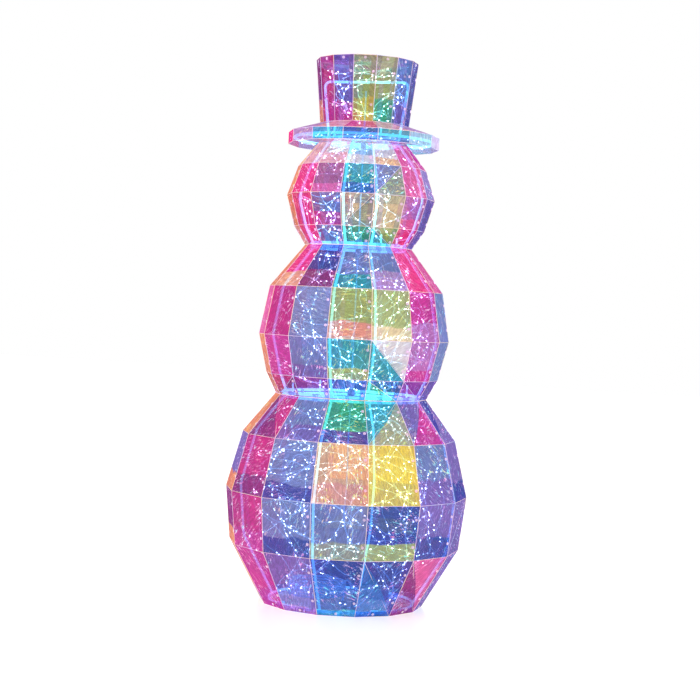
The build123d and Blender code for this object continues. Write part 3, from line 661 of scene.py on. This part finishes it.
class PanelMesh:
    """Film panels gathered into one mesh, with the tints and flat coordinates that the film needs."""

    def __init__(self, seed):
        self.vertices = []
        self.faces = []
        self.panel_uv = []
        self.flat_uv = []
        self.tints = []
        self.looks = []
        self.draw = random.Random(seed)

    def panel(self, corners, own, rim, fold=None, bulge=1.0 * MM, cover=0.55, split=None):
        """Adds a panel between four corners: low left, low right, high right, high left seen from outside.
        Split is the share of its height that has the lower tint."""
        low_left, low_right, high_right, high_left = corners
        outward = (low_right - low_left).cross(high_left - low_left).normalized()
        width = ((low_right - low_left).length + (high_right - high_left).length) / 2
        height = ((high_left - low_left).length + (high_right - low_right).length) / 2
        draw = self.draw
        push = bulge * draw.uniform(-0.6, 1.0)
        offset = Vector((draw.uniform(0, 3), draw.uniform(0, 3), 0))
        spin = draw.uniform(0, math.pi)
        if fold:
            tint_edge = 0.5
        elif own[0] != own[1] or rim[0] != rim[1]:
            tint_edge = split or draw.uniform(*SPLIT_RANGE)
        else:
            tint_edge = NO_SPLIT
        look = (tint_edge, draw.uniform(*GLINT_FLECK_RANGE), cover, 1.0)
        first = len(self.vertices)
        steps = PANEL_STEPS
        wave = Vector((draw.uniform(0, 50), draw.uniform(0, 50), draw.uniform(0, 50)))
        for row in range(steps + 1):
            v = row / steps
            for column in range(steps + 1):
                u = column / steps
                point = low_left.lerp(low_right, u).lerp(high_left.lerp(high_right, u), v)
                shape = math.sin(math.pi * u) * math.sin(math.pi * v)
                ripple = noise.noise(wave + Vector((u * 2.2, v * 2.2, 0))) * RIPPLE
                lift = (push + ripple) * shape
                if fold:
                    off_line = abs(u - v) if fold == "/" else abs(u + v - 1)
                    lift = (FOLD_DEPTH + ripple) * shape * min(1, FOLD_SHARPNESS * off_line)
                self.vertices.append(point + outward * lift)
        for row in range(steps):
            for column in range(steps):
                a = first + row * (steps + 1) + column
                b, c, d = a + 1, a + steps + 2, a + steps + 1
                if fold == "/":
                    cells = ((a, b, c), (a, c, d))
                elif fold:
                    cells = ((a, b, d), (b, c, d))
                else:
                    cells = ((a, b, c, d),)
                for cell in cells:
                    self.faces.append(cell)
                    corners_at = [divmod(vertex - first, steps + 1) for vertex in cell]
                    places = [(across / steps, up / steps) for up, across in corners_at]
                    middle = (sum(p[0] for p in places) / len(cell), sum(p[1] for p in places) / len(cell))
                    for u, v in places:
                        shown_v = v
                        if fold:
                            above = middle[1] > middle[0] if fold == "/" else middle[1] > 1 - middle[0]
                            shown_v = 0.95 if above else 0.05
                        self.panel_uv.append((u, shown_v))
                        x, y = u * width, v * height
                        self.flat_uv.append(
                            (
                                offset.x + x * math.cos(spin) - y * math.sin(spin),
                                offset.y + x * math.sin(spin) + y * math.cos(spin),
                            )
                        )
                        self.tints.append((own[0], own[1], rim[0], rim[1]))
                        self.looks.append(look)

    def build(self, name, material):
        thing = make_object(name, self.vertices, self.faces, material)
        mesh = thing.data
        for layer_name, values in (("panel", self.panel_uv), ("flat", self.flat_uv)):
            layer = mesh.uv_layers.new(name=layer_name)
            layer.data.foreach_set("uv", [number for pair in values for number in pair])
        for place, layer_name in enumerate(("centre_high", "centre_low", "rim_high", "rim_low")):
            layer = mesh.color_attributes.new(name=layer_name, type="FLOAT_COLOR", domain="CORNER")
            colours = [(*TINTS[names[place]], 1.0) for names in self.tints]
            layer.data.foreach_set("color", [number for colour in colours for number in colour])
        layer = mesh.color_attributes.new(name="look", type="FLOAT_COLOR", domain="CORNER")
        layer.data.foreach_set("color", [number for look in self.looks for number in look])
        sharpen_borders(mesh)
        thicken(thing)
        return thing


def sharpen_borders(mesh):
    """Keeps the shading of each panel flat up to its borders and its fold."""
    beside = {}
    for polygon in mesh.polygons:
        for edge in polygon.edge_keys:
            beside.setdefault(edge, []).append(polygon.normal)
    for edge in mesh.edges:
        normals = beside[tuple(sorted(edge.vertices))]
        edge.use_edge_sharp = len(normals) == 1 or normals[0].angle(normals[1], 0.0) > FOLD_ANGLE


def thicken(thing, thickness=FILM_THICKNESS):
    """Gives a sheet its thickness, inwards from the face it was made on."""
    solid = thing.modifiers.new("thickness", "SOLIDIFY")
    solid.thickness = thickness
    solid.offset = -1.0
    solid.use_even_offset = True


def seam_point(levels, gore, level):
    radius, height = levels[level]
    return around(radius, gore * GORE_TURN, height)


def film_panels(section, levels, seed):
    """All the film panels of a skin, one per gore and level."""
    panels = PanelMesh(seed)
    folds = {}
    for gore in range(GORES):
        for level in range(len(levels) - 1):
            corners = [
                seam_point(levels, gore, level),
                seam_point(levels, gore + 1, level),
                seam_point(levels, gore + 1, level + 1),
                seam_point(levels, gore, level + 1),
            ]
            own, rim = look_of(section, level, gore, panels.draw)
            fold = FOLDS.get((section, level, gore))
            chance = panels.draw.random()
            if gore in BACK_GORES and chance < BACK_FOLD_SHARE:
                fold = panels.draw.choice("/\\")
            if fold:
                folds[level, gore] = fold
            split = HEM_SHARE if (section, level) == ("lower", 0) else None
            panels.panel(corners, own, rim, fold, split=split)
    return panels, folds


CREASE_LINE_SHARE = 0.75  # radius of the line along a crease over that along a seam
FOLD_LINE_SHARE = 0.7


def film_edge_highlights(name, levels, folds, radius=0.62 * MM):
    """Thin lines of folded film along every seam and crease, and along each diagonal fold, lit by a painted
    highlight.
    """
    vertices, faces = [], []
    for (level, gore), fold in folds.items():
        low, high = (gore, gore + 1) if fold == "/" else (gore + 1, gore)
        ends = (seam_point(levels, low, level), seam_point(levels, high, level + 1))
        rod(vertices, faces, *ends, radius * FOLD_LINE_SHARE)
    for gore in range(GORES):
        for level in range(len(levels)):
            here = seam_point(levels, gore, level)
            rod(vertices, faces, here, seam_point(levels, gore + 1, level), radius * CREASE_LINE_SHARE)
            if level + 1 < len(levels):
                rod(vertices, faces, here, seam_point(levels, gore, level + 1), radius)
    return make_object(name, vertices, faces, EDGE_HIGHLIGHT)


def seam_tabs(name, levels):
    """Strips of the second film layer that lie under each gore along its far seam."""
    vertices, faces = [], []
    for gore in range(GORES):
        for level in range(len(levels) - 1):
            low, low_before = seam_point(levels, gore + 1, level), seam_point(levels, gore, level)
            high, high_before = seam_point(levels, gore + 1, level + 1), seam_point(levels, gore, level + 1)
            low_in = low + (low_before - low).normalized() * TAB_WIDTH
            high_in = high + (high_before - high).normalized() * TAB_WIDTH
            outward = (low - low_before).cross(high_before - low_before).normalized()
            first = len(vertices)
            vertices += [corner - outward * TAB_BELOW for corner in (low_in, low, high, high_in)]
            faces.append((first, first + 1, first + 2, first + 3))
    thing = make_object(name, vertices, faces, TAB, smooth=False)
    thicken(thing, 0.4 * MM)
    return thing


def build_skin(section, seed, *stands_for):
    levels = SKINS[section]
    panels, folds = film_panels(section, levels, seed)
    film = panels.build(f"{section}_film", FILM)
    edges = film_edge_highlights(f"{section}_film_edge_highlights", levels, folds)
    tabs = seam_tabs(f"{section}_seam_tabs", levels)
    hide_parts(*stands_for)
    for piece in (film, edges, tabs):
        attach(piece, BODIES[section])


# ------------------------------------------------------------------ hat films
def flat_ring(section, inner, outer, seed, outward_up, cover):
    """Fourteen flat or sloping panels between two seam polygons, given as radius and height."""
    panels = PanelMesh(seed)
    for gore in range(GORES):
        own, rim = look_of(section, 0, gore, panels.draw)
        inner_pair = [around(inner[0], (gore + side) * GORE_TURN, inner[1]) for side in (0, 1)]
        outer_pair = [around(outer[0], (gore + side) * GORE_TURN, outer[1]) for side in (0, 1)]
        if outward_up:
            corners = [outer_pair[0], outer_pair[1], inner_pair[1], inner_pair[0]]
        else:
            corners = [inner_pair[0], inner_pair[1], outer_pair[1], outer_pair[0]]
        panels.panel(corners, own, rim, bulge=0.3 * MM, cover=cover)
    return panels


def build_brim():
    """Edge band, top and underside of the hat's brim."""
    levels = [(BRIM_RADIUS, BRIM_LOW), (BRIM_RADIUS, BRIM_HIGH)]
    band = PanelMesh(71)
    for gore in range(GORES):
        own, rim = look_of("brim_edge", 0, gore, band.draw)
        corners = [
            seam_point(levels, gore, 0),
            seam_point(levels, gore + 1, 0),
            seam_point(levels, gore + 1, 1),
            seam_point(levels, gore, 1),
        ]
        band.panel(corners, own, rim, bulge=0.4 * MM, cover=0.55)
    underside_mesh = frame["nodes"]["brim_underside_film"].data
    hole = min(math.hypot(*vertex.co.xy) for vertex in underside_mesh.vertices)
    opening = (hole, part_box("brim_underside_film")[0].z)
    crown_foot = SKINS["crown"][0]
    top = flat_ring("brim_top", crown_foot, (BRIM_RADIUS, BRIM_HIGH), 72, True, 0.5)
    underside = flat_ring("brim_underside", opening, (BRIM_RADIUS, BRIM_LOW), 73, False, 0.3)
    for name, panels in (("brim_edge", band), ("brim_top", top), ("brim_underside", underside)):
        piece = panels.build(name, FILM)
        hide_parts(f"{name}_film")
        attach(piece, "hat_section")
    edges = film_edge_highlights("brim_film_edge_highlights", levels, {})
    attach(edges, "hat_section")


# ------------------------------------------------------------------ light strings
LIGHT_LENGTH = 4.0 * MM
LIGHT_RADIUS = 1.25 * MM
MICRO_WIRE = 0.4 * MM
STRAND_LOW_GAP = 14 * MM  # strands stay this far above a skin's foot
STRAND_HIGH_GAP = 16 * MM
STRAND_SHARES = (0.30, 0.84)  # least and most radius of a strand over the skin's radius
BRIM_POINTS = 44


def wander(draw, place, inside, steps, stride):
    """Line of points that strays through a space; inside says whether a point is allowed."""
    points = [place]
    heading = Vector((draw.uniform(-1, 1), draw.uniform(-1, 1), draw.uniform(-1, 1))).normalized()
    while len(points) < steps:
        for attempt in range(30):
            turn = Vector((draw.gauss(0, 1), draw.gauss(0, 1), draw.gauss(0, 1)))
            bent = (heading + turn * (0.35 + 0.12 * attempt)).normalized()
            candidate = points[-1] + bent * stride * draw.uniform(0.7, 1.3)
            if inside(candidate):
                break
        else:
            heading = -heading
            continue
        heading = bent
        points.append(candidate)
    return points


def string_object(name, strands):
    """Thin bright wire along every strand of a light string, bright partly from a painted glow in its
    material.
    """
    curve = bpy.data.curves.new(name, "CURVE")
    curve.dimensions = "3D"
    curve.bevel_depth = MICRO_WIRE
    curve.bevel_resolution = 1
    curve.resolution_u = 5
    curve.use_fill_caps = True
    for points in strands:
        spline = curve.splines.new("BEZIER")
        spline.bezier_points.add(len(points) - 1)
        for bezier, point in zip(spline.bezier_points, points):
            bezier.co = point
            bezier.handle_left_type = bezier.handle_right_type = "AUTO"
    thing = bpy.data.objects.new(name, curve)
    bpy.context.scene.collection.objects.link(thing)
    curve.materials.append(SILVER)
    return thing


def lights_object(name, strands, draw, per_span):
    """Resin drops strung along every strand."""
    vertices, faces = [], []
    for points in strands:
        for before, after in zip(points, points[1:]):
            for _ in range(per_span):
                place = before.lerp(after, draw.uniform(0.0, 1.0)) if per_span > 1 else before
                length = LIGHT_LENGTH * draw.uniform(0.7, 1.4)
                radius = LIGHT_RADIUS * draw.uniform(0.75, 1.2)
                drop(vertices, faces, place, after - before, length, radius)
    return make_object(name, vertices, faces, LIGHT)


def build_lights(section, strands, seed, per_span=1):
    draw = random.Random(seed)
    wire = string_object(f"{section}_micro_wire", strands)
    drops = lights_object(f"{section}_light_drops", strands, draw, per_span)
    node = "hat" if section in ("crown", "brim") else section
    body = "hat_section" if node == "hat" else BODIES[section]
    wire_part, drops_part = f"{node}_light_wire", f"{node}_lights"
    for piece, part, slot in ((wire, wire_part, "silver_wire"), (drops, drops_part, "light_resin")):
        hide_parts(part)
        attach(piece, body)


def ball_strands(section, count, steps, stride, seed):
    """Tangled strands that fill a ball, thickest just inside its ribs."""
    levels = SKINS[section]
    low, high = levels[0][1] + STRAND_LOW_GAP, levels[-1][1] - STRAND_HIGH_GAP
    draw = random.Random(seed)

    def inside(point):
        if not low < point.z < high:
            return False
        share = math.hypot(point.x, point.y) / radius_at(levels, point.z)
        return STRAND_SHARES[0] < share < STRAND_SHARES[1]

    strands = []
    for _ in range(count):
        turn = draw.uniform(0, math.tau)
        height = draw.uniform(low, high)
        start = around(radius_at(levels, height) * draw.uniform(0.5, 0.8), turn, height)
        strands.append(wander(draw, start, inside, steps, stride))
    return strands


def brim_strands(seed):
    """Lights lying loosely round the inside of the brim."""
    draw = random.Random(seed)
    points = []
    for step in range(BRIM_POINTS):
        radius = BRIM_RADIUS * draw.uniform(0.74, 0.90)
        turn = math.tau * step / (BRIM_POINTS + 1)
        points.append(around(radius, turn, BRIM_LOW + draw.uniform(5, 14) * MM))
    return [points]


# ------------------------------------------------------------------ studio
FLOOR_REACH = 12.0
FLOOR_DROP = 0.5 * MM


def build_studio():
    """Plain pale floor, white surround and soft lamps."""
    world = bpy.data.worlds.new("studio")
    bpy.context.scene.world = world
    world.use_nodes = True
    world.node_tree.nodes["Background"].inputs["Color"].default_value = (1.0, 1.0, 1.0, 1.0)
    world.node_tree.nodes["Background"].inputs["Strength"].default_value = 1.0
    signs = ((-1, -1), (1, -1), (1, 1), (-1, 1))
    corners = [Vector((x * FLOOR_REACH, y * FLOOR_REACH, -FLOOR_DROP)) for x, y in signs]
    tree = Tree("studio_floor")
    body = tree.principled(
        Base_Color=(0.50, 0.50, 0.51), Roughness=0.28, Emission_Color=(1.0, 1.0, 1.0), Emission_Strength=0.56
    )
    make_object("floor", corners, [(0, 1, 2, 3)], tree.finish(body.outputs[0]))
    for name, place, width, power in (
        ("key_softbox", (-1.6, -2.2, 2.2), 1.6, 30.0),
        ("fill_softbox", (2.2, -1.6, 1.4), 1.8, 16.0),
        ("back_softbox", (0.6, 2.2, 1.9), 1.6, 18.0),
    ):
        lamp = bpy.data.lights.new(name, "AREA")
        lamp.energy = power
        lamp.size = width
        thing = bpy.data.objects.new(name, lamp)
        bpy.context.scene.collection.objects.link(thing)
        thing.location = place
        aim = Vector((0, 0, 0.6)) - Vector(place)
        thing.rotation_euler = aim.to_track_quat("-Z", "Y").to_euler()


def build_camera():
    """Long lens almost level with the middle of the object, rolled a little so that it leans right."""
    azimuth, elevation, roll = math.radians(15.5), math.radians(1.0), math.radians(2.9)
    distance = 3.60
    target = Vector((0, 0, 0.584))
    back = Vector(
        (
            math.sin(azimuth) * math.cos(elevation),
            -math.cos(azimuth) * math.cos(elevation),
            math.sin(elevation),
        )
    )
    right = Vector((0, 0, 1)).cross(back).normalized()
    up = back.cross(right)
    turned_right = right * math.cos(roll) + up * math.sin(roll)
    turned_up = up * math.cos(roll) - right * math.sin(roll)
    lens = bpy.data.cameras.new("camera")
    lens.lens = 83.3
    lens.shift_x = -0.0051
    lens.shift_y = -0.0144
    camera = bpy.data.objects.new("camera", lens)
    axes = Matrix((turned_right, turned_up, back)).transposed().to_4x4()
    camera.matrix_world = Matrix.Translation(target + back * distance) @ axes
    bpy.context.scene.collection.objects.link(camera)
    bpy.context.scene.camera = camera


def set_light_paths():
    """Enough see-through layers for a look straight through every film, and no stray bright dots."""
    scene = bpy.context.scene
    scene.cycles.transparent_max_bounces = 48
    scene.cycles.max_bounces = 6
    scene.cycles.sample_clamp_indirect = 3.0
    scene.view_settings.view_transform = "Standard"


def add_bloom():
    """Soft glow round the brightest lights, as a lens gives."""
    scene = bpy.context.scene
    scene.use_nodes = True
    tree = scene.node_tree
    tree.nodes.clear()
    picture = tree.nodes.new("CompositorNodeRLayers")
    glare = tree.nodes.new("CompositorNodeGlare")
    result = tree.nodes.new("CompositorNodeComposite")
    glare.glare_type = "BLOOM"
    glare.quality = "HIGH"
    for name, value in (("Threshold", 1.5), ("Maximum", 5.0), ("Strength", 0.6), ("Size", 0.1)):
        glare.inputs[name].default_value = value
    glare.inputs["Clamp"].default_value = True
    glare.inputs["Tint"].default_value = (*linear(0.62, 0.86, 1.0), 1.0)
    tree.links.new(picture.outputs["Image"], glare.inputs["Image"])
    tree.links.new(glare.outputs["Image"], result.inputs["Image"])


# ------------------------------------------------------------------ assembly
dress_frame()
build_skin("lower", 11, "lower_film_gores")
build_skin("middle", 12, "middle_film_gores")
build_skin("head", 13, "head_film_gores")
build_skin("crown", 14, "crown_film_gores")
build_brim()
build_lights("lower", ball_strands("lower", 14, 36, 42 * MM, 21), 31, 2)
build_lights("middle", ball_strands("middle", 10, 30, 38 * MM, 22), 32, 2)
build_lights("head", ball_strands("head", 6, 28, 32 * MM, 23), 33, 2)
build_lights("crown", ball_strands("crown", 5, 26, 26 * MM, 24), 34)
build_lights("brim", brim_strands(25), 35)
build_studio()
build_camera()
set_light_paths()
add_bloom()

bpy.context.view_layer.update()
